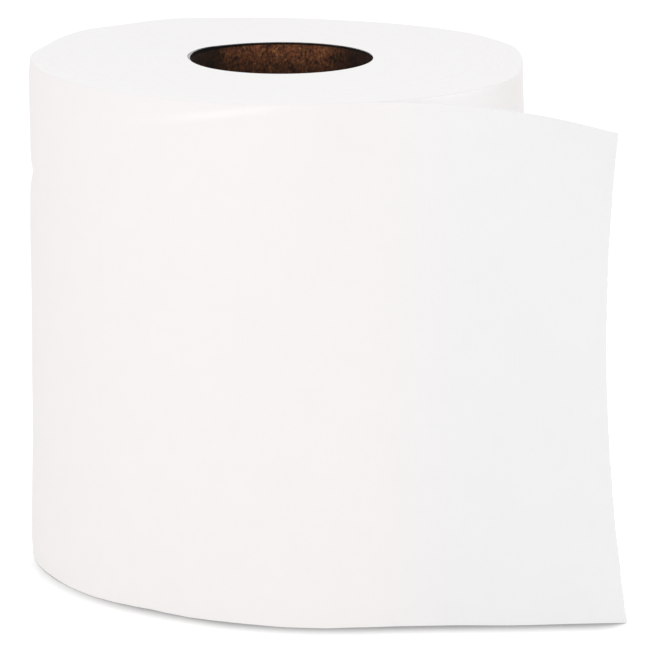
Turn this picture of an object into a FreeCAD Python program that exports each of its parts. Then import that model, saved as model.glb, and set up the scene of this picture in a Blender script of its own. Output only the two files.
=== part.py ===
import FreeCAD, Part
import math
import os
import Sketcher
from FreeCAD import Vector

# A toilet paper roll that stands on end, with its last sheet come loose.
# The origin is on the roll's axis at its foot, +Z runs up the axis, and the loose sheet leaves the
# roll at the front (-Y) and runs to the right (+X). Lengths are in millimetres, angles in degrees.

doc = FreeCAD.newDocument("PaperRoll")
sizes = doc.addObject("Spreadsheet::Sheet", "sizes")

driving_sizes = [
    ("web_width", 114.0, "width of the paper and height of the standing roll"),
    ("roll_radius", 55.6, "outer face of the last turn where the loose sheet begins"),
    ("core_inner_radius", 20.5, "bore of the board tube"),
    ("core_wall", 0.6, "two plies of board"),
    ("core_clearance", 0.1, "between the tube and the first turn of paper"),
    ("core_recess", 0.4, "the tube ends this far below the upper face of the paper"),
    ("sheet_thickness", 0.4, "one sheet of soft paper"),
    ("lap_depth", 0.15, "the last turn beds this deep into the turn below"),
    ("lap_shy", 0.05, "the last turn lies this far under the roll's face where it begins"),
    ("rim_round", 1.0, "soft outer edge at both ends of the roll"),
    ("turn_pitch", 4.6, "from one visible turn to the next on an end face"),
    ("turn_depth", 0.4, "dip between two visible turns"),
    ("turn_half_width", 0.4, "half the width of that dip at the end face"),
    ("turn_margin", 2.2, "plain paper next to the tube and next to the rim"),
    ("root_angle", -20.0, "where the last turn starts, from the front, to the right positive"),
    ("root_bury", 3.0, "the loose sheet starts this many degrees earlier, under the roll's face"),
    ("peel_angle_foot", -13.3, "where the sheet leaves the roll at its lower edge"),
    ("peel_angle_head", 16.6, "where it leaves the roll at its upper edge"),
    ("relax_foot", 40.0, "length over which the lower edge straightens"),
    ("relax_head", 10.2, "length over which the upper edge straightens"),
    ("run_heading", 5.6, "the straight run heads this much to the back"),
    ("tail_length", 71.2, "loose length from the front line to the tear at its narrowest"),
    ("tear_waist", 78.0, "height of the tear's narrowest place"),
    ("tear_flare_foot", 6.9, "the tear reaches this much further at the foot"),
    ("tear_flare_head", 2.4, "and this much further at the head"),
    ("curl_start", 40.0, "flat distance from the front line to the middle of the curl at the head"),
    ("curl_reach", 78.6, "flat distance at which the curl's middle line ends"),
    ("curl_foot", 65.0, "height of that end"),
    ("curl_angle", 42.4, "turn of the upper corner towards the front"),
    ("curl_width", 40.0, "width of the band that is bent, across the curl's line"),
]

for row, (name, value, note) in enumerate(driving_sizes, start=1):
    sizes.set(f"A{row}", name)
    sizes.set(f"B{row}", str(value))
    sizes.setAlias(f"B{row}", name)
    sizes.set(f"C{row}", note)
doc.recompute()

web_width = sizes.web_width
roll_radius = sizes.roll_radius
core_outer_radius = sizes.core_inner_radius + sizes.core_wall
web_bore_radius = core_outer_radius + sizes.core_clearance
root_step = sizes.sheet_thickness + sizes.lap_shy - sizes.lap_depth


def origin_feature(body, role):
    return next(item for item in body.Origin.OriginFeatures if item.Role == role)


def add_sketch(body, name, plane_role, height=None):
    sketch = body.newObject("Sketcher::SketchObject", name)
    sketch.AttachmentSupport = [(origin_feature(body, plane_role), "")]
    sketch.MapMode = "FlatFace"
    if height is not None:
        sketch.setExpression("AttachmentOffset.Base.z", height)
    return sketch


def bind(sketch, expression, *constraint):
    index = sketch.addConstraint(Sketcher.Constraint(*constraint))
    sketch.setExpression(f"Constraints[{index}]", expression)


def add_circle(sketch, radius, expression):
    circle = sketch.addGeometry(Part.Circle(Vector(0, 0, 0), Vector(0, 0, 1), radius))
    sketch.addConstraint(Sketcher.Constraint("Coincident", circle, 3, -1, 1))
    bind(sketch, expression, "Radius", circle, radius)


def add_polygon(sketch, corners):
    """Closed outline; each corner is a pair of (value, expression) for its two coordinates."""
    count = len(corners)
    points = [Vector(across[0], up[0], 0) for across, up in corners]
    lines = [
        sketch.addGeometry(Part.LineSegment(points[i], points[(i + 1) % count]))
        for i in range(count)
    ]
    for i in range(count):
        sketch.addConstraint(Sketcher.Constraint("Coincident", lines[i], 2, lines[(i + 1) % count], 1))
    for line, (across, up) in zip(lines, corners):
        bind(sketch, across[1], "DistanceX", -1, 1, line, 1, across[0])
        bind(sketch, up[1], "DistanceY", -1, 1, line, 1, up[0])


# The wound part of the web.

# Its outline is a spiral of two half circles whose centres lie a quarter of the step to either side of
# the axis, so that the last turn starts one lapped sheet proud of the turn under it.
web = doc.addObject("PartDesign::Body", "wound_turns")
outline = add_sketch(web, "web_outline", "XY_Plane")
root_direction = math.radians(sizes.root_angle - 90)
root_unit = Vector(math.cos(root_direction), math.sin(root_direction), 0)
quarter_step = root_step / 4
inner_half = Part.ArcOfCircle(
    Part.Circle(root_unit * -quarter_step, Vector(0, 0, 1), roll_radius - 3 * quarter_step),
    root_direction,
    root_direction + math.pi,
)
outer_half = Part.ArcOfCircle(
    Part.Circle(root_unit * quarter_step, Vector(0, 0, 1), roll_radius - quarter_step),
    root_direction + math.pi,
    root_direction + 2 * math.pi,
)
step_line = Part.LineSegment(root_unit * roll_radius, root_unit * (roll_radius - root_step))
inner_index = outline.addGeometry(inner_half)
outer_index = outline.addGeometry(outer_half)
step_index = outline.addGeometry(step_line)
outline.addConstraint(Sketcher.Constraint("Tangent", inner_index, 2, outer_index, 1))
outline.addConstraint(Sketcher.Constraint("Coincident", outer_index, 2, step_index, 1))
outline.addConstraint(Sketcher.Constraint("Coincident", step_index, 2, inner_index, 1))
step_expression = "(sizes.sheet_thickness + sizes.lap_shy - sizes.lap_depth)"
bind(outline, f"sizes.roll_radius - 0.75 * {step_expression}", "Radius", inner_index,
     roll_radius - 3 * quarter_step)
bind(outline, f"sizes.roll_radius - 0.25 * {step_expression}", "Radius", outer_index,
     roll_radius - quarter_step)
add_circle(outline, web_bore_radius,
           "sizes.core_inner_radius + sizes.core_wall + sizes.core_clearance")

turns = web.newObject("PartDesign::Pad", "turns")
turns.Profile = outline
turns.setExpression("Length", "sizes.web_width")
doc.recompute()

# Each end has its soft outer rim and the spiral dips that show the turns.
rim_overshoot = 1.0
first_radius = web_bore_radius + sizes.turn_margin
last_radius = roll_radius - sizes.rim_round - sizes.turn_margin
half_turns = int((last_radius - first_radius) / (sizes.turn_pitch / 2))


def add_rim(end, level, level_expression, outward):
    rim = add_sketch(web, f"rim_outline_{end}", "XZ_Plane")
    near = sizes.rim_round + rim_overshoot
    sign = "+" if outward > 0 else "-"
    back = "-" if outward > 0 else "+"
    add_polygon(rim, [
        ((roll_radius - near, f"sizes.roll_radius - sizes.rim_round - {rim_overshoot}"),
         (level + outward * rim_overshoot, f"{level_expression} {sign} {rim_overshoot}")),
        ((roll_radius + rim_overshoot, f"sizes.roll_radius + {rim_overshoot}"),
         (level - outward * near, f"{level_expression} {back} (sizes.rim_round + {rim_overshoot})")),
        ((roll_radius + rim_overshoot, f"sizes.roll_radius + {rim_overshoot}"),
         (level + outward * rim_overshoot, f"{level_expression} {sign} {rim_overshoot}")),
    ])
    cut = web.newObject("PartDesign::Groove", f"rim_{end}")
    cut.Profile = rim
    cut.ReferenceAxis = (rim, ["V_Axis"])
    cut.Angle = 360
    doc.recompute()


def add_turn_line(end, level_expression):
    """Spiral of half circles about two centres on the X axis, a quarter pitch either side of the axis."""
    line = add_sketch(web, f"turn_line_{end}", "XY_Plane", level_expression)
    offset = sizes.turn_pitch / 4
    previous = None
    for step in range(half_turns):
        radius = first_radius + step * sizes.turn_pitch / 2
        start = math.pi * (step % 2)
        centre = Vector(-offset if step % 2 == 0 else offset, 0, 0)
        arc = Part.ArcOfCircle(Part.Circle(centre, Vector(0, 0, 1), radius), start, start + math.pi)
        index = line.addGeometry(arc)
        bind(line,
             "sizes.core_inner_radius + sizes.core_wall + sizes.core_clearance + sizes.turn_margin"
             f" + {step} * sizes.turn_pitch / 2",
             "Radius", index, radius)
        if previous is None:
            line.addConstraint(Sketcher.Constraint("PointOnObject", index, 3, -1))
            bind(line, "-sizes.turn_pitch / 4", "DistanceX", -1, 1, index, 3, -offset)
            line.addConstraint(Sketcher.Constraint("PointOnObject", index, 1, -1))
        else:
            line.addConstraint(Sketcher.Constraint("Tangent", previous, 2, index, 1))
        line.addConstraint(Sketcher.Constraint("PointOnObject", index, 2, -1))
        previous = index
    return line


def add_turns_dip(end, level, level_expression, outward):
    line = add_turn_line(end, level_expression)
    dip = add_sketch(web, f"turn_dip_{end}", "XZ_Plane")
    start = first_radius - sizes.turn_pitch / 4
    start_expression = (
        "sizes.core_inner_radius + sizes.core_wall + sizes.core_clearance + sizes.turn_margin"
        " - sizes.turn_pitch / 4"
    )
    sign = "+" if outward > 0 else "-"
    back = "-" if outward > 0 else "+"
    add_polygon(dip, [
        ((start, start_expression),
         (level - outward * sizes.turn_depth, f"{level_expression} {back} sizes.turn_depth")),
        ((start + 2 * sizes.turn_half_width, f"{start_expression} + 2 * sizes.turn_half_width"),
         (level + outward * sizes.turn_depth, f"{level_expression} {sign} sizes.turn_depth")),
        ((start - 2 * sizes.turn_half_width, f"{start_expression} - 2 * sizes.turn_half_width"),
         (level + outward * sizes.turn_depth, f"{level_expression} {sign} sizes.turn_depth")),
    ])
    pipe = web.newObject("PartDesign::SubtractivePipe", f"turns_{end}")
    pipe.Profile = dip
    pipe.Spine = (line, [])
    pipe.Mode = "Binormal"
    pipe.Binormal = Vector(0, 0, 1)
    doc.recompute()


for end, level, level_expression, outward in (
    ("foot", 0.0, "0", -1),
    ("head", web_width, "sizes.web_width", 1),
):
    for add_cut in (add_rim, add_turns_dip):
        before = web.Shape.Volume
        add_cut(end, level, level_expression, outward)
        if web.Shape.Volume >= before:
            raise RuntimeError(f"the cut at the {end} took nothing away")


# The loose sheet.

# It is bent, never stretched. At each height the line along the sheet first follows the roll, leaves
# it at the peel angle and straightens to the run's heading. Across that, the upper corner is rolled
# forward about a slanted line. "along" is the flat distance from the root of the last turn, "height"
# the flat height, and "depth" the distance under the sheet's outer face.
lap_radius = roll_radius - sizes.lap_shy
front_line = math.radians(-sizes.root_angle) * lap_radius
line_steps = 160


def heading_at(along, share):
    root = math.radians(sizes.root_angle)
    peel = math.radians(sizes.peel_angle_foot + share * (sizes.peel_angle_head - sizes.peel_angle_foot))
    relax = sizes.relax_foot + share * (sizes.relax_head - sizes.relax_foot)
    hugging = (peel - root) * lap_radius
    if along <= hugging:
        return root + along / lap_radius
    progress = min((along - hugging) / relax, 1.0)
    blend = progress * progress * (3 - 2 * progress)
    return peel + (math.radians(sizes.run_heading) - peel) * blend


def plan_point(along, share):
    root = math.radians(sizes.root_angle)
    if along <= 0:
        turn = root + along / lap_radius
        return lap_radius * math.sin(turn), -lap_radius * math.cos(turn), turn
    across = lap_radius * math.sin(root)
    back = -lap_radius * math.cos(root)
    stride = along / line_steps
    for step in range(line_steps):
        heading = heading_at((step + 0.5) * stride, share)
        across += math.cos(heading) * stride
        back += math.sin(heading) * stride
    return across, back, heading_at(along, share)


def sheet_point(along, height, depth):
    line_along = sizes.curl_reach - sizes.curl_start
    line_down = web_width - sizes.curl_foot
    line_length = math.hypot(line_along, line_down)
    curl_along = line_down / line_length
    curl_up = line_along / line_length
    angle = math.radians(sizes.curl_angle)
    radius = sizes.curl_width / angle
    past = (
        (along - front_line - sizes.curl_start) * curl_along
        + (height - web_width) * curl_up
        + sizes.curl_width / 2
    )
    if past > 0:
        turned = min(past / radius, angle)
        beyond = max(past - sizes.curl_width, 0.0)
        reached = (radius + depth) * math.sin(turned) + beyond * math.cos(angle)
        lift = radius - (radius + depth) * math.cos(turned) + beyond * math.sin(angle)
    else:
        reached = past
        lift = -depth
    plan_along = along + (reached - past) * curl_along
    plan_height = height + (reached - past) * curl_up
    across, back, heading = plan_point(plan_along, plan_height / web_width)
    return Vector(across + lift * math.sin(heading), back - lift * math.cos(heading), plan_height)


def tear_length(height):
    if height < sizes.tear_waist:
        share = 1 - height / sizes.tear_waist
        return sizes.tail_length + sizes.tear_flare_foot * share * share
    share = (height - sizes.tear_waist) / (web_width - sizes.tear_waist)
    return sizes.tail_length + sizes.tear_flare_head * share * share


def sheet_face(depth, stations=24, levels=13):
    start = -math.radians(sizes.root_bury) * lap_radius
    grid = []
    for level in range(levels):
        height = web_width * level / (levels - 1)
        reach = front_line + tear_length(height) - start
        grid.append([
            sheet_point(start + reach * station / (stations - 1), height, depth)
            for station in range(stations)
        ])
    surface = Part.BSplineSurface()
    surface.interpolate(grid)
    return surface


outer_surface = sheet_face(0.0)
inner_surface = sheet_face(sizes.sheet_thickness)


def border_curves(surface):
    u_first, u_last, v_first, v_last = surface.bounds()
    return [
        surface.uIso(u_first).toShape(),
        surface.uIso(u_last).toShape(),
        surface.vIso(v_first).toShape(),
        surface.vIso(v_last).toShape(),
    ]


sheet_faces = [outer_surface.toShape(), inner_surface.toShape()]
for outer_edge, inner_edge in zip(border_curves(outer_surface), border_curves(inner_surface)):
    sheet_faces.append(Part.makeRuledSurface(outer_edge, inner_edge))
sheet_shell = Part.makeShell(sheet_faces)
sheet_shell.sewShape()
sheet_solid = Part.makeSolid(sheet_shell)
if sheet_solid.Volume < 0:
    sheet_solid.reverse()

loose_sheet = doc.addObject("Part::Feature", "loose_sheet")
loose_sheet.Shape = sheet_solid

paper_web = doc.addObject("Part::Fuse", "paper_web")
paper_web.Label = "paper_web"
paper_web.Base = web
paper_web.Tool = loose_sheet
doc.recompute()


# The core: a board tube that the first turn is wound on.
core_tube = doc.addObject("PartDesign::Body", "core_tube")
core_tube.Label = "core_tube"
ring = add_sketch(core_tube, "core_ring", "XY_Plane")
add_circle(ring, sizes.core_inner_radius, "sizes.core_inner_radius")
add_circle(ring, core_outer_radius, "sizes.core_inner_radius + sizes.core_wall")
wall = core_tube.newObject("PartDesign::Pad", "core_wall_pad")
wall.Profile = ring
wall.setExpression("Length", "sizes.web_width - sizes.core_recess")
doc.recompute()


for item in doc.Objects:
    if "Invalid" in item.State or "Error" in item.State:
        raise RuntimeError(f"{item.Name} failed: {item.State}")

os.makedirs("parts", exist_ok=True)
for sub_part in (paper_web, core_tube):
    shape = sub_part.Shape
    if shape.isNull() or not shape.isValid():
        raise RuntimeError(f"{sub_part.Label} has no valid shape")
    if len(shape.Solids) != 1:
        raise RuntimeError(f"{sub_part.Label} is {len(shape.Solids)} solids")
    shape.exportStep(f"parts/{sub_part.Label}.step")
    print(f"{sub_part.Label}: {shape.Volume / 1000:.2f} cm3, {len(shape.Faces)} faces, {shape.BoundBox}")
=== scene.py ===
import math
import bmesh
import bpy
from mathutils import Matrix, Vector, noise


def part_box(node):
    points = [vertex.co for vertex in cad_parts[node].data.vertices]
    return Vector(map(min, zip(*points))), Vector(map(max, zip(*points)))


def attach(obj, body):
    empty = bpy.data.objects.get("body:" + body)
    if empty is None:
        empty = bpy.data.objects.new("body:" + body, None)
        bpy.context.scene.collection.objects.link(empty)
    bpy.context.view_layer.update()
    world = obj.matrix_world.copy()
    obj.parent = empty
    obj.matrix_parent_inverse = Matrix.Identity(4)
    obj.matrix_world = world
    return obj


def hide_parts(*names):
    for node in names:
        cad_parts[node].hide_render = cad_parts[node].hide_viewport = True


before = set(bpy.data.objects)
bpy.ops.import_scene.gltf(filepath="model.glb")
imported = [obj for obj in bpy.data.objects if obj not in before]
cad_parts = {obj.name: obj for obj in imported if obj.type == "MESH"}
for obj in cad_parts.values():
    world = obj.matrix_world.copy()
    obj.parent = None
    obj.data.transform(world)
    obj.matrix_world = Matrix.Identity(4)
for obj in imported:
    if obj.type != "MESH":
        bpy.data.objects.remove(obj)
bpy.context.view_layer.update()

millimetre = 0.001
mergeGap = millimetre / 100
sharpAngle = math.radians(48)

print("stage: frame loaded")

# Where things are comes from the frame: the paper's outer turn, its width and the board tube.
paperLow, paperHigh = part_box("paper_web")
tubeLow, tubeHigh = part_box("core_tube")
rollRadius = -paperLow[0]
paperWidth = 114 * millimetre


def smoothStep(low, high, value):
    share = min(max((value - low) / (high - low), 0.0), 1.0)
    return share * share * (3 - 2 * share)


def angleFromFront(place):
    # 0 at the front, positive to the right, in radians
    return math.atan2(place[0], -place[1])


def newPiece(name, bm, materials, shadeSmooth=True):
    mesh = bpy.data.meshes.new(name)
    bm.to_mesh(mesh)
    bm.free()
    for material in materials:
        mesh.materials.append(material)
    for polygon in mesh.polygons:
        polygon.use_smooth = shadeSmooth
    mesh.set_sharp_from_angle(angle=sharpAngle)
    piece = bpy.data.objects.new(name, mesh)
    bpy.context.scene.collection.objects.link(piece)
    return piece


# Profiles are drawn as a chain of points in the XZ plane and spun about the axis.

def runTo(bm, vertex, place, pieces):
    # a straight run from a chain's last point, in equal pieces
    start = vertex.co.copy()
    for piece in range(pieces):
        vertex = bmesh.ops.extrude_vert_indiv(bm, verts=[vertex])["verts"][0]
        vertex.co = start.lerp(place, (piece + 1) / pieces)
    return vertex


def bendTo(bm, vertex, centre, turn, pieces):
    # an arc about a centre in the XZ plane, from a chain's last point
    arc = bmesh.ops.spin(bm, geom=[vertex], cent=centre, axis=(0, 1, 0), angle=turn, steps=pieces)
    return next(part for part in arc["geom_last"] if isinstance(part, bmesh.types.BMVert))


def spinRound(bm, columns):
    bmesh.ops.spin(bm, geom=bm.verts[:] + bm.edges[:], cent=(0, 0, 0), axis=(0, 0, 1),
                   angle=math.tau, steps=columns, use_merge=True)
    bmesh.ops.remove_doubles(bm, verts=bm.verts[:], dist=mergeGap)
    bmesh.ops.recalc_face_normals(bm, faces=bm.faces[:])


# Shader maths: a socket that takes part in Python expressions.

class Wire:
    def __init__(self, shader, socket):
        self.shader = shader
        self.socket = socket

    def maths(self, operation, *others):
        return self.shader.add("ShaderNodeMath", {"operation": operation},
                               [self, *others])

    def __add__(self, other):
        return self.maths("ADD", other)

    def __radd__(self, other):
        return self.maths("ADD", other)

    def __sub__(self, other):
        return self.maths("SUBTRACT", other)

    def __rsub__(self, other):
        return self.shader.add("ShaderNodeMath", {"operation": "SUBTRACT"}, [other, self])

    def __mul__(self, other):
        return self.maths("MULTIPLY", other)

    def __rmul__(self, other):
        return self.maths("MULTIPLY", other)

    def __truediv__(self, other):
        return self.maths("DIVIDE", other)

    def __rtruediv__(self, other):
        return self.shader.add("ShaderNodeMath", {"operation": "DIVIDE"}, [other, self])

    def __pow__(self, other):
        return self.maths("POWER", other)


class Finish:
    # a material and the nodes that are added to it
    def __init__(self, name):
        self.material = bpy.data.materials.new(name)
        self.material.use_nodes = True
        self.tree = self.material.node_tree
        self.tree.nodes.clear()
        self.output = self.tree.nodes.new("ShaderNodeOutputMaterial")

    def add(self, kind, settings=None, sockets=None, result=0):
        # one node: its settings first, then the values or wires of its sockets
        node = self.tree.nodes.new(kind)
        for key, value in (settings or {}).items():
            setattr(node, key, value)
        sockets = sockets or {}
        pairs = enumerate(sockets) if isinstance(sockets, list) else sockets.items()
        for key, value in pairs:
            target = node.inputs[key]
            if isinstance(value, Wire):
                self.tree.links.new(value.socket, target)
            else:
                target.default_value = value
        return Wire(self, node.outputs[result])

    def mixColours(self, share, first, second):
        return self.add("ShaderNodeMix", {"data_type": "RGBA"},
                        {0: share, 6: first, 7: second}, result=2)

    def noise(self, place, scale, detail=2.0, roughness=0.5):
        return self.add("ShaderNodeTexNoise", {},
                        {"Vector": place, "Scale": scale, "Detail": detail, "Roughness": roughness})

    def stretched(self, place, scale):
        return self.add("ShaderNodeMapping", {}, {"Vector": place, "Scale": scale})

    def axes(self, place):
        # the three numbers of a place, each on a wire of its own
        parts = self.add("ShaderNodeSeparateXYZ", {}, [place]).socket.node.outputs
        return [Wire(self, part) for part in parts]

    def fade(self, value, start, end, startLevel=0.0, endLevel=1.0, kind="SMOOTHSTEP"):
        # goes from one level to another while the value goes from start to end
        return self.add("ShaderNodeMapRange", {"interpolation_type": kind},
                        {0: value, 1: start, 2: end, 3: startLevel, 4: endLevel})

    def surface(self, sockets):
        shader = self.add("ShaderNodeBsdfPrincipled", {}, sockets)
        self.tree.links.new(shader.socket, self.output.inputs["Surface"])


tissue = dict(
    colour=(0.813, 0.791, 0.783, 1),
    hollow=(0.777, 0.756, 0.748, 1),
    crepeSpacing=0.42 * millimetre,     # ridges run up the roll, across the way it is wound
    crepeLength=5 * millimetre,
    fibre=0.35 * millimetre,
    cloud=9 * millimetre,
    crepeHeight=0.03 * millimetre,
    bumpStrength=0.6,
    roughness=0.8,
    specular=0.1,
    sheetLength=112 * millimetre,       # between two perforations
    slitPitch=2.2 * millimetre,
    slitWidth=0.22 * millimetre,
    slitBridge=0.28,                    # the share of the pitch that isn't cut
    slitColour=(0.55, 0.54, 0.53, 1),
    slitShare=0.06,
    # painted highlight: a paler place where the rounded rim catches the light, just below the
    # head's front edge
    paintedHighlight=(0.875, 0.855, 0.845, 1),
    highlightUp=111.4 * millimetre,
    highlightHeight=0.95 * millimetre,
    highlightSlope=0.15,                   # it runs up to the right
    highlightAlong=8 * millimetre,
    highlightLength=13 * millimetre,
    highlightShare=0.55,
)

# A single loose sheet is less warm than wound paper. On the turn that it uncovers, in the narrow
# wedge behind it, a paler colour is painted light that lifts the shade there; it fades out on the
# rim.
loosePaper = dict(
    colour=(0.786, 0.783, 0.785, 1),
    hollow=(0.752, 0.749, 0.751, 1),
    fadeIn=(36 * millimetre, 67 * millimetre),
)
paintedLightPaper = dict(
    colour=(0.965, 0.96, 0.96, 1),
    hollow=(0.94, 0.935, 0.935, 1),
    fadeIn=(20 * millimetre, 48 * millimetre),
    fadeOut=(53 * millimetre, 91 * millimetre),
    rimFade=(113.45 * millimetre, 113.8 * millimetre),
)


def makePaperFace(name, tearAlong, other):
    # The broad faces of the paper. Its UV map is the flat sheet in metres: along it, and up it.
    finish = Finish(name)
    flat = finish.add("ShaderNodeUVMap", {"uv_map": "flatSheet"})
    crepe = finish.noise(
        finish.stretched(flat, (1, tissue["crepeSpacing"] / tissue["crepeLength"], 1)),
        1 / tissue["crepeSpacing"], detail=2)
    fibre = finish.noise(flat, 1 / tissue["fibre"], detail=3, roughness=0.6)
    cloud = finish.noise(flat, 1 / tissue["cloud"], detail=3)
    along, up, _ = finish.axes(flat)
    # distance from the nearest perforation line, then whether the slits are open there
    sheets = (tearAlong - along) / tissue["sheetLength"]
    torn = sheets.maths("LESS_THAN", 0.5)
    lineGap = sheets.maths("PINGPONG", 0.5) * tissue["sheetLength"] + torn
    inLine = finish.fade(lineGap, 0.0, tissue["slitWidth"], 1.0, 0.0)
    cut = (up / tissue["slitPitch"]).maths("FRACT").maths("GREATER_THAN", tissue["slitBridge"])
    slit = cut * inLine
    tone = (fibre * 0.35 + crepe * 0.35 + cloud * 0.5).maths("SUBTRACT", 0.1)
    # the second colour along the sheet: the loose sheet's cooler tone, or, on the turn behind it,
    # painted light
    share = finish.fade(along, *other["fadeIn"])
    if "fadeOut" in other:
        share -= finish.fade(along, *other["fadeOut"])
    if "rimFade" in other:
        share *= finish.fade(up, *other["rimFade"], 1.0, 0.0)
    colour = finish.mixColours(tone, finish.mixColours(share, tissue["hollow"], other["hollow"]),
                               finish.mixColours(share, tissue["colour"], other["colour"]))
    # painted highlight on the rounded rim at the front of the head, where light catches it
    offAlong = ((along - tissue["highlightAlong"]) / tissue["highlightLength"]) ** 2
    highlightUp = (along - tissue["highlightAlong"]) * tissue["highlightSlope"] + tissue["highlightUp"]
    offUp = ((up - highlightUp) / tissue["highlightHeight"]) ** 2
    paintedHighlight = 1 / (offAlong + offUp).maths("EXPONENT") * tissue["highlightShare"]
    colour = finish.mixColours(paintedHighlight, colour, tissue["paintedHighlight"])
    colour = finish.mixColours(slit * tissue["slitShare"], colour, tissue["slitColour"])
    height = crepe * 0.7 + fibre * 0.3 + cloud * 0.8 - slit * 0.3
    bump = finish.add("ShaderNodeBump", {},
                      {"Strength": tissue["bumpStrength"], "Distance": tissue["crepeHeight"],
                       "Height": height})
    finish.surface({"Base Color": colour, "Roughness": fibre * 0.15 + tissue["roughness"],
                    "Normal": bump, "Specular IOR Level": tissue["specular"]})
    return finish.material


endTurns = dict(
    pitch=0.34 * millimetre,            # one thin turn; bundles of them are in the mesh
    wander=0.8 * millimetre,
    wanderSize=14 * millimetre,
    fuzz=0.5 * millimetre,
    patch=5 * millimetre,
    dark=(0.805, 0.798, 0.796, 1),
    light=(0.856, 0.846, 0.844, 1),
    bumpStrength=0.55,
    bumpHeight=0.06 * millimetre,
    roughness=0.85,
)


def makePaperEnds(name):
    # the cut ends of the turns, with the fine spiral of single turns
    finish = Finish(name)
    place = finish.add("ShaderNodeTexCoord", {}, result=3)
    across, back, _ = finish.axes(place)
    radius = (across * across + back * back).maths("SQRT")
    turn = back.maths("ARCTAN2", across) / math.tau
    wander = finish.noise(place, 1 / endTurns["wanderSize"], detail=2) * endTurns["wander"]
    phase = ((radius + wander) / endTurns["pitch"] - turn).maths("FRACT")
    ridge = phase.maths("PINGPONG", 0.5) * 2
    patch = finish.noise(place, 1 / endTurns["patch"], detail=2)
    fuzz = finish.noise(place, 1 / endTurns["fuzz"], detail=4, roughness=0.7)
    tone = ridge * 0.35 + fuzz * 0.4 + patch * 0.3
    colour = finish.mixColours(tone, endTurns["dark"], endTurns["light"])
    bump = finish.add("ShaderNodeBump", {},
                      {"Strength": endTurns["bumpStrength"], "Distance": endTurns["bumpHeight"],
                       "Height": ridge * patch + fuzz * 0.8})
    finish.surface({"Base Color": colour, "Roughness": fuzz * 0.1 + endTurns["roughness"],
                    "Normal": bump, "Specular IOR Level": tissue["specular"]})
    return finish.material


board = dict(
    dark=(0.009, 0.007, 0.0055, 1),
    light=(0.34, 0.118, 0.05, 1),
    pale=(0.62, 0.36, 0.12, 1),
    speck=(0.006, 0.005, 0.005, 1),
    # the colour of the painted shadow under the cut edge
    lipShadow=(0.0025, 0.002, 0.0018, 1),
    rim=(0.36, 0.35, 0.33, 1),
    paleRim=(0.6, 0.58, 0.55, 1),
    mottle=2.2 * millimetre,
    fibre=0.5 * millimetre,
    strand=0.8 * millimetre,
    fleck=0.6 * millimetre,
    leastTone=0.06,
    # painted light: the strip of the wall at the back is lighter, the rest darker
    wallLightFrom=12.8 * millimetre,
    wallLightTo=20.5 * millimetre,
    wallLightLevels=(0.12, 1.1),
    boreShadeDepth=8 * millimetre,            # painted shade: the wall is darker deeper inside
    boreShadeLevel=0.25,
    lipShadowDepth=0.58 * millimetre,        # painted shadow: the wall is dark just under its cut edge, where the paper's lip shades it
    bumpStrength=0.5,
    bumpHeight=0.06 * millimetre,
    roughness=0.72,
    specular=0.16,
)


def makeBoard(name, cutRim):
    # recycled board: mottled fibres on the walls, a paler cut rim
    finish = Finish(name)
    place = finish.add("ShaderNodeTexCoord", {}, result=3)
    mottle = finish.noise(place, 1 / board["mottle"], detail=5, roughness=0.7)
    fibre = finish.noise(finish.stretched(place, (1, 1, 0.6)), 1 / board["fibre"], detail=3,
                         roughness=0.6)
    strand = finish.noise(finish.stretched(place, (1, 1, 1.6)), 1 / board["strand"], detail=2)
    specks = finish.noise(place, 1 / board["fleck"], detail=1).maths("GREATER_THAN", 0.7)
    first, second = (board["rim"], board["paleRim"]) if cutRim else (board["dark"], board["light"])
    tone = mottle * 1.8 + fibre * 2.4 - 1.6
    if not cutRim:
        # painted light and shade: the wall is lighter and redder on the strip at the back, where
        # light falls in, darker and browner elsewhere, and darker deeper inside
        across, back, up = finish.axes(place)
        paintedWallLight = finish.fade(back, board["wallLightFrom"], board["wallLightTo"], *board["wallLightLevels"])
        rimLevel = across * roll["boreTilt"] + tubeHigh[2] + tube["headRise"] - roll["boreSag"]
        depth = up.maths("MINIMUM", rimLevel - up)
        paintedBoreShade = finish.fade(depth, 0.0, board["boreShadeDepth"], 1.0, board["boreShadeLevel"])
        tone = tone.maths("MAXIMUM", board["leastTone"]) * paintedWallLight * paintedBoreShade
    colour = finish.mixColours(tone, first, second)
    if not cutRim:
        bright = finish.fade(strand, 0.58, 0.7, 0.0, 0.5, kind="LINEAR")
        colour = finish.mixColours(bright * tone, colour, board["pale"])
    colour = finish.mixColours(specks * (0.25 if cutRim else 0.5), colour, board["speck"])
    if not cutRim:
        # painted shadow: a dark band just under the cut edge, where the paper's lip shades the wall
        paintedLipShadow = finish.fade(depth, board["lipShadowDepth"] * 0.5, board["lipShadowDepth"], 1.0, 0.0)
        colour = finish.mixColours(paintedLipShadow, colour, board["lipShadow"])
    bump = finish.add("ShaderNodeBump", {},
                      {"Strength": board["bumpStrength"], "Distance": board["bumpHeight"],
                       "Height": fibre * 0.7 + mottle * 0.5})
    finish.surface({"Base Color": colour, "Roughness": fibre * 0.2 + board["roughness"],
                    "Normal": bump, "Specular IOR Level": board["specular"]})
    return finish.material


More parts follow.
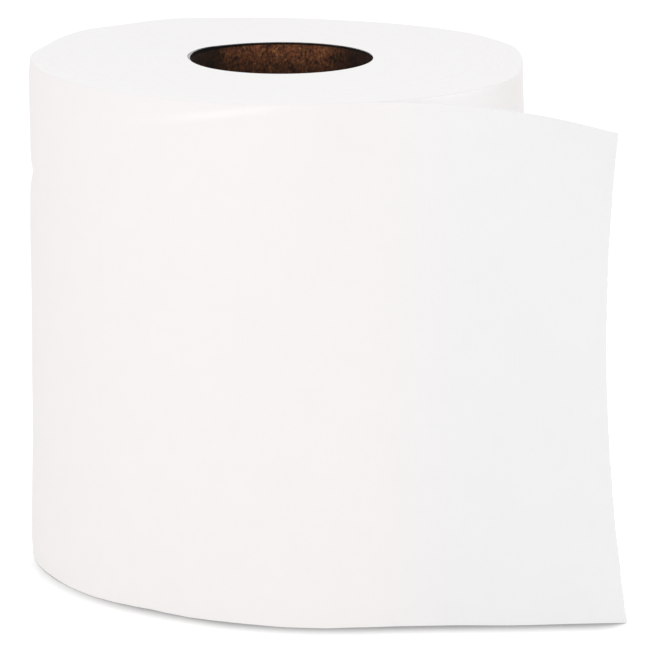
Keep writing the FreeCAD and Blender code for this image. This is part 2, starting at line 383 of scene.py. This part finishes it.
# The loose sheet: bent, never stretched. Its flat lengths and angles are the solid's, but for
# flareHead, which is 0.3 mm more, and it is thinner.
sheet = dict(
    thickness=0.16 * millimetre,
    rootAngle=math.radians(-20.0),
    peelFoot=math.radians(-13.3),
    peelHead=math.radians(16.6),
    relaxFoot=40.0 * millimetre,
    relaxHead=10.2 * millimetre,
    heading=math.radians(5.6),
    length=71.2 * millimetre,
    tearWaist=78.0 * millimetre,
    flareFoot=6.9 * millimetre,
    flareHead=2.7 * millimetre,
    curlStart=40.0 * millimetre,
    curlReach=78.6 * millimetre,
    curlFoot=65.0 * millimetre,
    curlAngle=math.radians(42.4),
    curlWidth=40.0 * millimetre,
    lapAngle=math.radians(125),         # how far the modelled last turn goes back round the roll
    lapRise=0.3 * millimetre,           # and how far under the roll's face it starts
    tuck=0.3 * millimetre,              # left of the front its edges lie under the turn's rim
    raggedSize=2.3 * millimetre,        # the torn edge wanders, and has finer tufts
    ragged=0.16 * millimetre,
    tuftSize=0.7 * millimetre,
    tuft=0.14 * millimetre,
    ripple=0.45 * millimetre,
    rippleAlong=26 * millimetre,
    rippleUp=48 * millimetre,
    columns=160,
    rows=170,
    rowCrowding=0.13,                   # rows lie closer at both edges, to follow the rims
    settle=(-6 * millimetre, 22 * millimetre),          # past the line where it leaves the roll
    tuckHeight=4 * millimetre,
    tuckAngles=(-75, -45),
    planSteps=16,
)
frontAlong = -sheet["rootAngle"] * rollRadius


def peelAt(share):
    # angle at which the sheet leaves the roll, from the foot (0) to the head (1)
    return sheet["peelFoot"] + share * (sheet["peelHead"] - sheet["peelFoot"])


def huggingAt(share):
    # flat length from the root that still lies on the roll
    return (peelAt(share) - sheet["rootAngle"]) * rollRadius


def relaxAt(share):
    # flat length over which the sheet straightens
    return sheet["relaxFoot"] + share * (sheet["relaxHead"] - sheet["relaxFoot"])


def headingAt(along, share):
    peel = peelAt(share)
    relax = relaxAt(share)
    hugging = huggingAt(share)
    if along <= hugging:
        return sheet["rootAngle"] + along / rollRadius
    return peel + (sheet["heading"] - peel) * smoothStep(0, relax, along - hugging)


def planPoint(along, share):
    # place and heading, seen from above, of a point this far along the sheet from its root
    if along <= 0:
        turn = sheet["rootAngle"] + along / rollRadius
        sunk = smoothStep(-sheet["lapAngle"] * 0.2, -sheet["lapAngle"], along / rollRadius)
        radius = rollRadius - sheet["lapRise"] * sunk
        return radius * math.sin(turn), -radius * math.cos(turn), turn
    relax = relaxAt(share)
    hugging = huggingAt(share)
    onRoll = sheet["rootAngle"] + min(along, hugging) / rollRadius
    across = rollRadius * math.sin(onRoll)
    back = -rollRadius * math.cos(onRoll)
    loose = max(along - hugging, 0.0)
    stride = min(loose, relax) / sheet["planSteps"]
    for step in range(sheet["planSteps"]):
        heading = headingAt(hugging + (step + 0.5) * stride, share)
        across += math.cos(heading) * stride
        back += math.sin(heading) * stride
    straight = max(loose - relax, 0.0)
    across += math.cos(sheet["heading"]) * straight
    back += math.sin(sheet["heading"]) * straight
    return across, back, headingAt(along, share)


def sheetPoint(along, height):
    # the plan's point, then turned forward about the slanted line of the curl
    lineAlong = sheet["curlReach"] - sheet["curlStart"]
    lineDown = paperWidth - sheet["curlFoot"]
    lineLength = math.hypot(lineAlong, lineDown)
    curlAlong = lineDown / lineLength
    curlUp = lineAlong / lineLength
    radius = sheet["curlWidth"] / sheet["curlAngle"]
    past = ((along - frontAlong - sheet["curlStart"]) * curlAlong
            + (height - paperWidth) * curlUp + sheet["curlWidth"] / 2)
    reached, lift = past, 0.0
    if past > 0:
        turned = min(past / radius, sheet["curlAngle"])
        beyond = max(past - sheet["curlWidth"], 0.0)
        reached = radius * math.sin(turned) + beyond * math.cos(sheet["curlAngle"])
        lift = radius - radius * math.cos(turned) + beyond * math.sin(sheet["curlAngle"])
    planAlong = along + (reached - past) * curlAlong
    planHeight = height + (reached - past) * curlUp
    across, back, heading = planPoint(planAlong, planHeight / paperWidth)
    return Vector((across + lift * math.sin(heading), back - lift * math.cos(heading), planHeight))


def tearLength(height):
    if height < sheet["tearWaist"]:
        share = 1 - height / sheet["tearWaist"]
        flare = sheet["flareFoot"] * share * share
    else:
        share = (height - sheet["tearWaist"]) / (paperWidth - sheet["tearWaist"])
        flare = sheet["flareHead"] * share * share
    ragged = noise.noise(Vector((height / sheet["raggedSize"], 0.3, 0))) * sheet["ragged"]
    tufts = noise.noise(Vector((height / sheet["tuftSize"], 7.1, 0))) * sheet["tuft"]
    return sheet["length"] + flare + ragged + tufts


# The roll's shape is not quite round: it is flattened on the right and dented on the left.
roll = dict(
    boreRadius=21.2 * millimetre,
    lipRadius=20.5 * millimetre,        # the innermost turns lean over the tube's rim
    lipGap=0.6 * millimetre,            # but not on the left
    lipDepth=0.12 * millimetre,
    boreShift=0.52 * millimetre,        # the tube sits a little right of the middle
    boreTilt=0.015,                     # and its rim leans up to the right
    boreLift=0.5 * millimetre,          # but it is pushed up at the left
    # places on the roll: an angle from the front and a width, in degrees
    boreLiftAt=(-110, 28),
    lipGapAt=(-92, 16),
    frontRimAt=(-10, 22),
    flatAt=(86, 11.5),
    leftAt=(-88, 24),
    boreSag=0.08 * millimetre,
    rim=0.6 * millimetre,
    footRim=0.2 * millimetre,
    footReach=20 * millimetre,
    # how far the foot spreads outward, in millimetres, at angles from the front
    footSpread=((-112, 0), (-90, -0.05), (-84, 0.1), (-78, 0.5), (-74, 0.8), (-70, 0.85),
                (-58, 0.75), (-45, 0.45), (-39, 0.1), (-34, -0.4), (-28, -0.75), (-23, -0.25),
                (-17, 0.45), (-11, 0.75), (-4, 1.05), (3, 1.5), (11, 1.4), (19, 0.7), (27, 0.3),
                (35, 0.35), (45, 1.1), (55, 0.5), (75, 0)),
    frontRim=0.4 * millimetre,          # the rim is this much softer at the front of the head
    underSheet=0.14 * millimetre,       # the turn under the last one lies this much further in
    drop=0.05 * millimetre,             # the ends lie this far inside the paper's full width
    columns=256,
    faceRows=90,
    sideRows=100,
    rimRows=6,
    boreRows=8,
    endSlope=0.75,                      # faces that look up or down this much are wound ends
    bundle=1.55 * millimetre,           # turns wound tighter and looser by turns
    bundleDepth=0.14 * millimetre,
    bundleWander=6 * millimetre,
    valleyWidth=0.16,                   # of one bundle
    slip=0.1 * millimetre,              # turns that slipped along the axis
    flatLevels=(96, 116),               # the right side is flattened mostly at the head
    flatBelow=0.05,
    soft=0.1,                           # unevenness of the side, and how far it lies in anyway
    slack=0.03,
    # dents of the left side: height, half height and depth, in millimetres
    leftSide=((112, 3, -0.15), (107, 8, -0.26), (88.2, 2.4, 0.55), (75, 10, -0.2), (30, 9, 0.16),
              (9, 6, -0.16)),
    # creases: angle and its width in degrees, then height, half height and depth in millimetres
    creases=((-66, 16, 81, 1.2, 0.08), (-14, 13, 110.9, 1.3, -0.24)),
    # how far the head stands proud at an angle, over a width in degrees, in millimetres
    proud=((118, 26, 0.68), (165, 14, -0.1), (-147, 18, 0.22), (-12, 34, -0.12), (-124, 9, 0.42),
           (-151, 9, 0.3), (-102, 8, -0.55), (105, 6, 0.35)),
)


def hump(value, middle, width):
    return math.exp(-((value - middle) / width) ** 2)


def rollDent(turn, height):
    # how far the side lies inside the round, at an angle from the front and a height
    degrees = math.degrees(turn)
    level = height / millimetre
    upper = smoothStep(*roll["flatLevels"], level)
    flat = hump(degrees, *roll["flatAt"]) * (roll["flatBelow"] + (1 - roll["flatBelow"]) * upper)
    left = sum(hump(level, middle, width) * depth for middle, width, depth in roll["leftSide"])
    crease = sum(hump(degrees, angle, spread) * hump(level, middle, width) * depth
                 for angle, spread, middle, width, depth in roll["creases"])
    soft = noise.noise(Vector((math.cos(turn) * 1.3, math.sin(turn) * 1.3, level / 45)))
    left *= hump(degrees, *roll["leftAt"])
    return (flat + left + crease + soft * roll["soft"] + roll["slack"]) * millimetre


def footSpread(turn, height):
    # how far the foot is pushed outward, and which way: forward where the sheet has left the roll
    degrees = math.degrees(turn)
    spread = 0.0
    for (angle, reach), (nextAngle, nextReach) in zip(roll["footSpread"], roll["footSpread"][1:]):
        if angle <= degrees < nextAngle:
            spread = reach + (nextReach - reach) * smoothStep(angle, nextAngle, degrees)
    spread *= (1 - smoothStep(0, roll["footReach"], height)) * millimetre
    facing = min(turn, 0.0)
    return Vector((math.sin(facing), -math.cos(facing), 0)) * spread


def boreLean(place):
    # the tube and the turns round it sit off the middle, the outer turns don't
    share = 1 - smoothStep(roll["boreRadius"], rollRadius, math.hypot(place.x, place.y))
    upper = smoothStep(0.5, 1.0, place.z / paperWidth)
    degrees = math.degrees(angleFromFront(place))
    lean = (place.x * roll["boreTilt"] - roll["boreSag"]
            + roll["boreLift"] * hump(degrees, *roll["boreLiftAt"]))
    return Vector((roll["boreShift"], 0, lean * upper)) * share


def headRim(turn):
    return roll["rim"] + roll["frontRim"] * hump(math.degrees(turn), *roll["frontRimAt"])


def roundCorner(side, end, radius):
    # a point near a rim, as its distances from the side and the end face, moved onto the round
    if side >= radius or end >= radius:
        return side, end
    across = side - radius
    down = end - radius
    reach = math.hypot(across, down)
    return radius + across * radius / reach, radius + down * radius / reach


def roundRims(side, height, turn):
    # the same for both ends of the roll; returns the distance from the side and the height
    head = paperWidth - roll["drop"]
    foot = roll["drop"]
    if height > paperWidth / 2:
        side, end = roundCorner(side, head - height, headRim(turn))
        return side, head - end
    side, end = roundCorner(side, height - foot, roll["footRim"])
    return side, foot + end


def endRelief(radius, turn):
    # level of the wound edges on an end face, below the highest turn
    wander = noise.noise(Vector((radius / roll["bundleWander"], 2.2, 0))) * 0.5
    phase = (radius - roll["boreRadius"]) / roll["bundle"] - turn / math.tau + wander
    wound = math.floor(phase)
    share = phase - wound
    paperRun = wound + turn / math.tau
    slip = noise.noise(Vector((paperRun * 0.83, 5.7, 0))) * roll["slip"]
    valley = hump(min(share, 1 - share), 0, roll["valleyWidth"])
    deep = 0.45 + 0.55 * abs(noise.noise(Vector((paperRun * 1.7, 1.1, 0))))
    return slip - valley * deep * roll["bundleDepth"] - roll["slip"] * 0.6


def headLevel(turn, radius):
    # the upper face isn't quite flat: it mostly stands proud towards the back and sags at the front
    degrees = math.degrees(turn)
    proud = sum(hump(degrees, middle, width) * rise for middle, width, rise in roll["proud"])
    return proud * (radius / rollRadius) ** 3 * millimetre


print("stage: measures set")


def makeWoundTurns():
    outer = rollRadius - roll["underSheet"]
    head = paperWidth - roll["drop"]
    foot = roll["drop"]
    rim = roll["rim"]
    endEdge = outer - rim * 0.2
    bm = bmesh.new()
    first = bm.verts.new((roll["lipRadius"], 0, head))
    last = runTo(bm, first, Vector((outer - rim, 0, head)), roll["faceRows"])
    last = bendTo(bm, last, Vector((outer - rim, 0, head - rim)), math.pi / 2, roll["rimRows"])
    last = runTo(bm, last, Vector((outer, 0, foot + roll["footRim"])), roll["sideRows"])
    footCentre = Vector((outer - roll["footRim"], 0, foot + roll["footRim"]))
    last = bendTo(bm, last, footCentre, math.pi / 2, roll["rimRows"])
    last = runTo(bm, last, Vector((roll["lipRadius"], 0, foot)), roll["faceRows"])
    last = runTo(bm, last, Vector((roll["boreRadius"], 0, foot + roll["lipDepth"])), 2)
    last = runTo(bm, last, Vector((roll["boreRadius"], 0, head - roll["lipDepth"])),
                 roll["boreRows"])
    runTo(bm, last, first.co, 2)
    bmesh.ops.remove_doubles(bm, verts=bm.verts[:], dist=mergeGap)
    spinRound(bm, roll["columns"])

    flat = bm.loops.layers.uv.new("flatSheet")
    for face in bm.faces:
        middle = angleFromFront(face.calc_center_median())
        face.material_index = 1 if abs(face.normal.z) > roll["endSlope"] else 0
        for loop in face.loops:
            turn = angleFromFront(loop.vert.co)
            if turn - middle > math.pi:
                turn -= math.tau
            if middle - turn > math.pi:
                turn += math.tau
            loop[flat].uv = ((turn - sheet["rootAngle"]) * rollRadius, loop.vert.co.z)

    for vertex in bm.verts:
        place = vertex.co
        radius = math.hypot(place.x, place.y)
        turn = angleFromFront(place)
        side, height = roundRims(outer - radius, place.z, turn)
        moved = outer - side
        if radius < roll["boreRadius"]:
            moved += roll["lipGap"] * hump(math.degrees(turn), *roll["lipGapAt"])
        moved -= rollDent(turn, height) * smoothStep(0.55, 1.0, moved / outer)
        onEnd = smoothStep(endEdge, outer - rim, radius)
        relief = endRelief(radius, turn) * onEnd * smoothStep(1.0, 1.03, radius / roll["lipRadius"])
        nearHead = smoothStep(0.5, 1.0, place.z / head)
        nearFoot = 1 - smoothStep(0.0, 0.5, place.z / head)
        if radius < endEdge:
            height += nearHead * relief - nearFoot * relief
        height += nearHead ** 6 * headLevel(turn, radius)
        spread = footSpread(turn, height) * smoothStep(0.8, 1.0, radius / outer)
        vertex.co = (Vector((place.x * moved / radius, place.y * moved / radius, height))
                     + boreLean(place) + spread)
    piece = newPiece("woundTurns", bm, [turnFace, paperEnds])
    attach(piece, "root")
    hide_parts("paper_web")


def makeLooseSheet():
    bm = bmesh.new()
    bmesh.ops.create_grid(bm, x_segments=sheet["columns"], y_segments=sheet["rows"], size=0.5)
    start = -sheet["lapAngle"] * rollRadius
    flat = bm.loops.layers.uv.new("flatSheet")
    run = {}
    for vertex in bm.verts:
        level = vertex.co.y + 0.5
        height = (level - sheet["rowCrowding"] * math.sin(math.tau * level)) * paperWidth
        along = start + (frontAlong + tearLength(height) - start) * (vertex.co.x + 0.5)
        run[vertex] = (along, height)
    for face in bm.faces:
        for loop in face.loops:
            loop[flat].uv = run[loop.vert]
    for vertex, (along, height) in run.items():
        place = sheetPoint(along, height)
        share = height / paperWidth
        past = along - huggingAt(share)
        wound = 1 - smoothStep(*sheet["settle"], past)
        turn = angleFromFront(place)
        side, level = roundRims(0.0, height, turn)
        edge = 1 - smoothStep(0, sheet["tuckHeight"], min(height, paperWidth - height))
        tuck = edge * (1 - smoothStep(*sheet["tuckAngles"], math.degrees(turn))) * sheet["tuck"]
        inward = rollDent(turn, height) + side + tuck
        lift = level - height + share ** 6 * headLevel(turn, rollRadius)
        lift += tuck if height < paperWidth / 2 else -tuck
        outward = Vector((math.sin(turn), -math.cos(turn), 0))
        ripple = noise.noise(Vector((along / sheet["rippleAlong"],
                                     height / sheet["rippleUp"], 3.3)))
        vertex.co = (place - outward * inward * wound + Vector((0, 0, lift * wound))
                     - Vector((0, ripple * (1 - wound) * sheet["ripple"], 0))
                     + footSpread(turn, height))
    bmesh.ops.recalc_face_normals(bm, faces=bm.faces[:])
    middle = bm.faces[:][len(bm.faces) // 2]
    if middle.normal.y > 0:
        bmesh.ops.reverse_faces(bm, faces=bm.faces[:])
    bmesh.ops.solidify(bm, geom=bm.faces[:], thickness=sheet["thickness"])
    piece = newPiece("looseSheet", bm, [sheetFace])
    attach(piece, "root")
    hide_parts("paper_web")


tube = dict(
    innerRadius=20.5 * millimetre,
    headRise=0.22 * millimetre,         # it stands higher in the web than at the foot
    lead=96 * millimetre,               # the board's strip goes round once in this length
    seamWidth=0.5 * millimetre,
    seamDepth=0.22 * millimetre,
    ragged=0.08 * millimetre,           # the cut head isn't quite straight
    raggedReach=1 * millimetre,
    columns=180,
    outerRows=20,
    wallRows=90,
    rimRows=3,
    rimSlope=0.7,                       # faces that look up or down this much are the cut rim
)


def makeBoardTube():
    outer = tubeHigh[0]
    head = tubeHigh[2] + tube["headRise"]
    foot = tubeLow[2]
    bm = bmesh.new()
    first = bm.verts.new((tube["innerRadius"], 0, head))
    last = runTo(bm, first, Vector((outer, 0, head)), tube["rimRows"])
    last = runTo(bm, last, Vector((outer, 0, foot)), tube["outerRows"])
    last = runTo(bm, last, Vector((tube["innerRadius"], 0, foot)), tube["rimRows"])
    runTo(bm, last, first.co, tube["wallRows"])
    bmesh.ops.remove_doubles(bm, verts=bm.verts[:], dist=mergeGap)
    spinRound(bm, tube["columns"])
    for face in bm.faces:
        face.material_index = 1 if abs(face.normal.z) > tube["rimSlope"] else 0
    for vertex in bm.verts:
        place = vertex.co
        radius = math.hypot(place.x, place.y)
        turn = angleFromFront(place)
        grow = 0.0
        if radius < tube["innerRadius"] * 1.005:
            seam = (turn / math.tau + place.z / tube["lead"]) % 1.0
            gap = min(seam, 1 - seam) * tube["lead"] * 0.8
            grow = math.exp(-(gap / tube["seamWidth"]) ** 2) * tube["seamDepth"]
        ragged = noise.noise(Vector((turn * 9, place.z * 20, 0.5))) * tube["ragged"]
        edge = smoothStep(head - tube["raggedReach"], head, place.z)
        moved = radius + grow
        vertex.co = Vector((place.x * moved / radius, place.y * moved / radius,
                            place.z - edge * abs(ragged))) + boreLean(place)
    piece = newPiece("boardTube", bm, [boardWall, boardRim])
    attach(piece, "root")
    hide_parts("core_tube")


tearAt = frontAlong + sheet["length"]
sheetFace = makePaperFace("sheetFace", tearAt, loosePaper)
# the wound turns' face carries the painted light in the wedge behind the loose sheet
turnFace = makePaperFace("turnFace", tearAt, paintedLightPaper)
paperEnds = makePaperEnds("tissueEnds")
boardWall = makeBoard("boardWall", cutRim=False)
boardRim = makeBoard("boardRim", cutRim=True)
print("stage: finishes made")

makeWoundTurns()
makeLooseSheet()
makeBoardTube()
print("stage: pieces made")


# Floor, light and camera.
studio = dict(
    floorSize=6.0,
    floorGlow=0.14,
    floorDark=(0.94, 0.94, 0.94, 1),
    floorPale=(0.955, 0.955, 0.955, 1),
    shadeSize=0.17,
    shadeMiddle=(12 * millimetre, -45 * millimetre),
    shadeLift=0.02 * millimetre,
    shadeReach=10 * millimetre,
    shadeRays=64,
    shadeFacing=(0.02, 0.7, 0.7),       # it looks up and back, towards the roll
    shadeBack=(-22 * millimetre, -6 * millimetre),      # and ends before the roll's middle
    # openness of the floor where the shade is full, and where it ends
    shadeFull=0.3,
    shadeNone=0.75,
    shadeMore=0.045,                    # a little more of it under the right half
    shadeRight=(-22 * millimetre, -5 * millimetre),
    shadeFall=1.8,
    shadeDark=0.66,
    skyStrength=1.0,
    keySize=0.3,
    keyPower=0.5,
    keyPlace=Vector((-0.13, -0.45, 0.5)),
    lampAim=Vector((0, 0, 0.07)),
    fillSize=0.25,
    fillPower=0.16,
    fillPlace=Vector((0.34, 0.3, 0.32)),
)


def makeFloor():
    bm = bmesh.new()
    bmesh.ops.create_grid(bm, x_segments=1, y_segments=1, size=studio["floorSize"] / 2)
    finish = Finish("paleFloor")
    place = finish.add("ShaderNodeTexCoord", {}, result=3)
    cloud = finish.noise(place, 3.0, detail=2)
    colour = finish.mixColours(cloud, studio["floorDark"], studio["floorPale"])
    finish.surface({"Base Color": colour, "Roughness": 0.95, "Specular IOR Level": 0.0,
                    "Emission Color": (1, 1, 1, 1), "Emission Strength": studio["floorGlow"]})
    floor = newPiece("floor", bm, [finish.material], shadeSmooth=False)
    floor.visible_shadow = False


def makeContactShade():
    # the thin shade in front of the foot: a sheet on the floor that only the camera sees
    bm = bmesh.new()
    bmesh.ops.create_grid(bm, x_segments=1, y_segments=1, size=studio["shadeSize"] / 2)
    bmesh.ops.translate(bm, verts=bm.verts[:], vec=(*studio["shadeMiddle"], studio["shadeLift"]))
    finish = Finish("contactShade")
    place = finish.add("ShaderNodeTexCoord", {}, result=3)
    facing = finish.add("ShaderNodeCombineXYZ", {}, list(studio["shadeFacing"]))
    openness = finish.add("ShaderNodeAmbientOcclusion", {"samples": studio["shadeRays"]},
                          {"Distance": studio["shadeReach"], "Normal": facing}, result=1)
    across, back, _ = finish.axes(place)
    right = finish.fade(across, *studio["shadeRight"], 0.0, studio["shadeMore"])
    covered = finish.fade(openness - right, studio["shadeFull"], studio["shadeNone"], 1.0, 0.0,
                          kind="LINEAR")
    front = finish.fade(back, *studio["shadeBack"], 1.0, 0.0)
    finish.surface({"Base Color": (0, 0, 0, 1), "Roughness": 1.0, "Specular IOR Level": 0.0,
                    "Alpha": covered ** studio["shadeFall"] * studio["shadeDark"] * front})
    shade = newPiece("contactShade", bm, [finish.material], shadeSmooth=False)
    shade.visible_diffuse = False
    shade.visible_glossy = False
    shade.visible_transmission = False
    shade.visible_shadow = False


def makeLights():
    world = bpy.data.worlds.new("paleRoom")
    world.use_nodes = True
    background = world.node_tree.nodes["Background"]
    background.inputs["Color"].default_value = (1, 1, 1, 1)
    background.inputs["Strength"].default_value = studio["skyStrength"]
    bpy.context.scene.world = world
    for name in ("key", "fill"):
        lamp = bpy.data.lights.new(name + "Lamp", "AREA")
        lamp.size = studio[name + "Size"]
        lamp.energy = studio[name + "Power"]
        light = bpy.data.objects.new(name + "Lamp", lamp)
        light.location = studio[name + "Place"]
        aim = studio["lampAim"] - studio[name + "Place"]
        light.rotation_euler = aim.to_track_quat("-Z", "Y").to_euler()
        bpy.context.scene.collection.objects.link(light)


camera = dict(
    place=Vector((11.478, -765.57, 248.11)) * millimetre,
    pitch=math.radians(14.371),
    roll=math.radians(0.872),
    focalPixels=3465.7,
    picturePixels=653,
    sensor=36.0,
)


def makeCamera():
    lens = bpy.data.cameras.new("photoCamera")
    lens.sensor_width = camera["sensor"]
    lens.lens = camera["focalPixels"] / camera["picturePixels"] * camera["sensor"]
    lens.clip_start = 0.01
    lens.clip_end = 20
    holder = bpy.data.objects.new("photoCamera", lens)
    holder.matrix_world = (Matrix.Translation(camera["place"])
                           @ Matrix.Rotation(math.pi / 2 - camera["pitch"], 4, "X")
                           @ Matrix.Rotation(camera["roll"], 4, "Z"))
    bpy.context.scene.collection.objects.link(holder)
    bpy.context.scene.camera = holder


makeFloor()
makeContactShade()
makeLights()
makeCamera()
bpy.context.scene.view_settings.view_transform = "Standard"
print("stage: studio ready")
